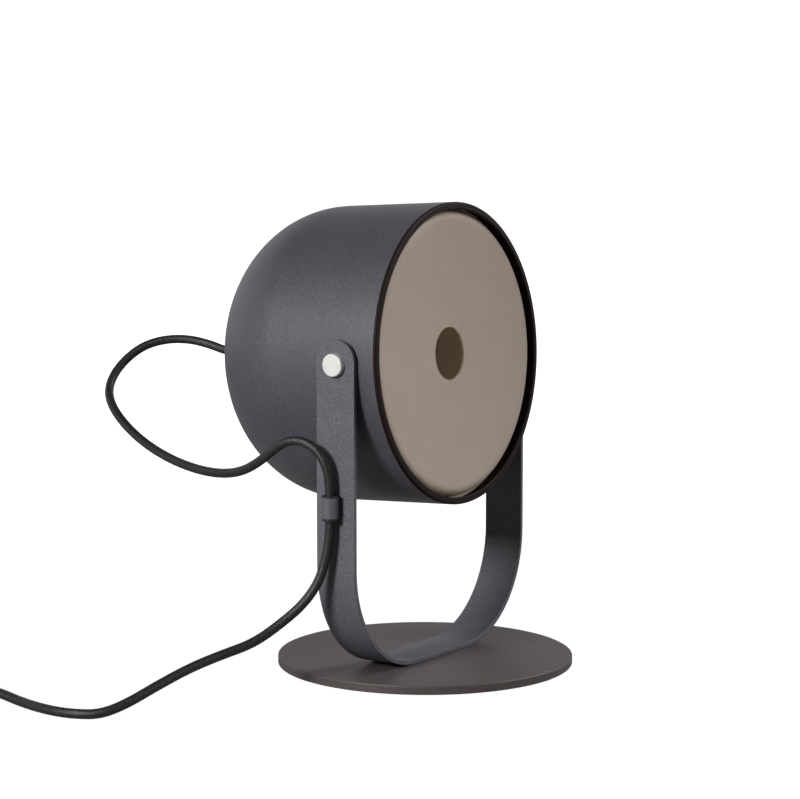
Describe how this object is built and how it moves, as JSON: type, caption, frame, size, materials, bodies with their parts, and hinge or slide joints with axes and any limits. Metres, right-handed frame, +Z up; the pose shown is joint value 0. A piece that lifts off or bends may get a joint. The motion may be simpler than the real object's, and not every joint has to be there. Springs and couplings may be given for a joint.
{
  "type": "table lamp",
  "caption": "Tabletop searchlight lamp: a deep dome shade with a dished diffuser, tilting in a U-shaped strap yoke on a round steel foot, with a textile cord, in-line switch and plug.",
  "frame": {"origin": "centre of the foot's underside, on the surface that the lamp stands on", "axes": "+Z up, -Y the way the lamp shines, X along the tilt axis with the cord collar's arm at -X"},
  "size_m": [0.364, 0.4573, 0.3107],
  "materials": {
    "powder_coat": "fine-textured matt powder coat",
    "foot_coat": "fine-textured matt powder coat",
    "shade_coat": "fine-textured matt powder coat outside, pale inside, on spun aluminium",
    "satin_nickel": "satin nickel",
    "zinc_steel": "zinc plated",
    "black_steel": "black oxide",
    "spring_steel": "polished spring steel",
    "nylon": "black nylon",
    "trim_black": "black satin",
    "bush_rubber": "black rubber",
    "brass": "turned brass",
    "diffuser_matt": "warm grey-beige, matt, lets some light through",
    "ring_white": "painted pale",
    "holder_plastic": "black thermoset",
    "holder_ceramic": "unglazed",
    "opal_glass": "opal",
    "bulb_metal": "bright",
    "rubber_pad": "fine cellular rubber",
    "switch_plastic": "black, finely spark-eroded",
    "switch_steel": "zinc plated",
    "plug_plastic": "black",
    "plug_metal": "nickel plated",
    "textile": "black braid"
  },
  "bodies": {
    "stand": {"base_plate": "foot_coat", "base_pad": "rubber_pad", "yoke_strap": "powder_coat", "yoke_studs": "zinc_steel", "stud_washers": "zinc_steel", "stud_nuts": "zinc_steel", "cord_collar": "powder_coat", "collar_screw": "black_steel", "collar_bush": "bush_rubber", "cord_loop": "textile", "cord_lead": "textile", "cord_to_coil": "textile", "cord_to_plug": "textile", "cord_coil": "textile", "plug_body": "plug_plastic", "plug_pins": "plug_metal", "pin_sleeves": "plug_plastic", "switch_boots": "bush_rubber", "switch_base": "switch_plastic", "switch_cover": "switch_plastic", "switch_terminals": "brass", "switch_contact": "brass", "contact_rivets": "brass", "switch_screws": "switch_steel"},
    "head": {"shade": "shade_coat", "pivot_screw_left": "satin_nickel", "pivot_screw_right": "satin_nickel", "threaded_nipple": "zinc_steel", "nipple_nut": "zinc_steel", "diffuser_clips": "spring_steel", "pivot_spacers": "nylon", "cord_grip": "nylon", "rim_trim": "trim_black", "pivot_inserts": "brass", "holder_shell": "brass", "holder_contact": "brass", "bulb_contact": "brass", "diffuser": "diffuser_matt", "diffuser_ring": "ring_white", "holder_cap": "holder_plastic", "holder_skirt": "holder_plastic", "holder_insulator": "holder_ceramic", "bulb_glass": "opal_glass", "bulb_cap": "bulb_metal"},
    "rocker": {"switch_rocker": "switch_plastic"}
  },
  "joints": [
    {"name": "head_tilt", "type": "hinge", "parent": "stand", "child": "head", "pos_m": [0, 0, 0.2097], "axis": [1, 0, 0], "range_deg": [-87.6, 92.4], "deforming": ["cord_loop"]},
    {"name": "switch_rocker_tilt", "type": "hinge", "parent": "stand", "child": "rocker", "pos_m": [-0.243, 0.221, 0.0112], "axis": [1, 0, 0], "range_deg": [0, 14]}
  ]
}
